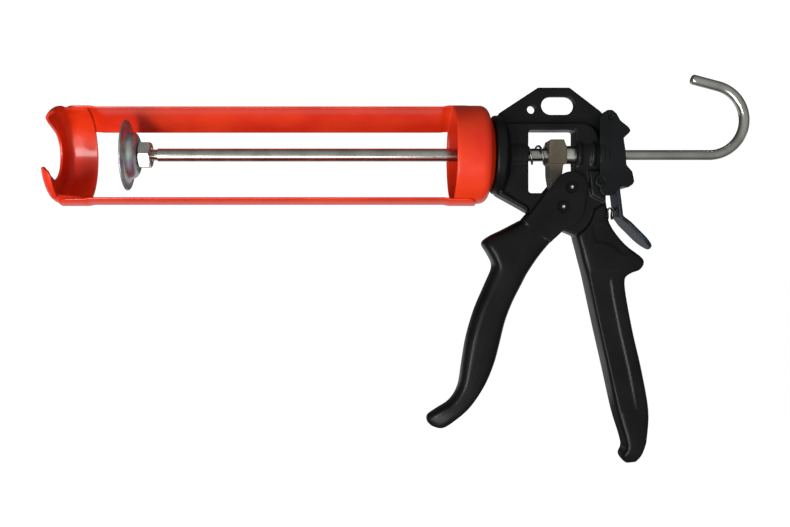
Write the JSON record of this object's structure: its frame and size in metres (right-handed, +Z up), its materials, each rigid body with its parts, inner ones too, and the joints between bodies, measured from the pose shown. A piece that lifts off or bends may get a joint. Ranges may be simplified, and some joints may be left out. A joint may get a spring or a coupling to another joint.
{
  "type": "caulking gun",
  "caption": "Caulking gun with a revolving open cartridge frame, hooked push rod, plunger disc, die-cast handle and trigger, and a rod release lever.",
  "frame": {"origin": "on the barrel axis, in the rim plane of the front cap, where the cartridge's shoulder lies", "axes": "+X along the barrel toward the hook, +Y away from the side with the trigger's pin heads, +Z up from the handle to the hanging plate"},
  "size_m": [0.3744, 0.0524, 0.2082],
  "materials": {
    "red_coat": "gloss powder coat",
    "black_casting": "satin black coat on die casting",
    "black_guard": "satin black coat",
    "zinc_steel": "bright zinc plate",
    "spring_steel": "drawn wire",
    "dark_steel": "oiled spring steel",
    "blue_steel": "blue-grey hardened strip",
    "brown_steel": "brown phosphate",
    "bush_bronze": "sintered bronze"
  },
  "bodies": {
    "body": {"body_casting": "black_casting", "front_bush": "bush_bronze", "rear_bush": "bush_bronze", "retaining_washer": "zinc_steel", "retaining_ring": "dark_steel", "pivot_pin": "zinc_steel", "pivot_clip": "dark_steel", "lever_guard": "black_guard", "guard_pin": "zinc_steel", "fulcrum_pin": "zinc_steel", "driver_spring": "spring_steel", "lever_spring": "spring_steel"},
    "cradle": {"front_cap": "red_coat", "upper_strap": "red_coat", "lower_strap": "red_coat", "rear_collar": "red_coat"},
    "plunger": {"plunger_disc": "zinc_steel"},
    "rod": {"rod": "zinc_steel", "rear_nut": "zinc_steel", "front_nut": "zinc_steel", "front_washer": "zinc_steel"},
    "trigger": {"trigger": "black_casting", "drive_pin": "zinc_steel", "drive_clip": "dark_steel", "drive_roller": "zinc_steel"},
    "driver": {"driver_block": "brown_steel"},
    "release_lever": {"release_lever": "blue_steel"}
  },
  "joints": [
    {"name": "frame_spin", "type": "hinge", "parent": "body", "child": "cradle", "pos_m": [0.23, 0, 0], "axis": [1, 0, 0], "continuous": true},
    {"name": "rod_slide", "type": "slide", "parent": "body", "child": "plunger", "axis": [1, 0, 0], "range_m": [-0.036, 0.172]},
    {"name": "rod_turn", "type": "hinge", "parent": "plunger", "child": "rod", "pos_m": [0.04, 0, 0], "axis": [1, 0, 0], "range_deg": [-150, 150]},
    {"name": "trigger_pull", "type": "hinge", "parent": "body", "child": "trigger", "pos_m": [0.2678, 0, -0.0283], "axis": [0, -1, 0], "range_deg": [0, 28], "stiffness_Nm_per_rad": 0.2, "springref_deg": -34.38},
    {"name": "driver_slide", "type": "slide", "parent": "body", "child": "driver", "axis": [-1, 0, 0], "range_m": [0, 0.0056], "deforming": ["driver_spring"]},
    {"name": "lever_press", "type": "hinge", "parent": "body", "child": "release_lever", "pos_m": [0.2929, 0, 0.0189], "axis": [0, 1, 0], "range_deg": [0, 3], "stiffness_Nm_per_rad": 0.6, "springref_deg": -5.73, "deforming": ["lever_spring"]}
  ],
  "couplings": [
    {"joint": "driver_slide", "follows": "trigger_pull", "m_per_rad": 0.01104}
  ]
}
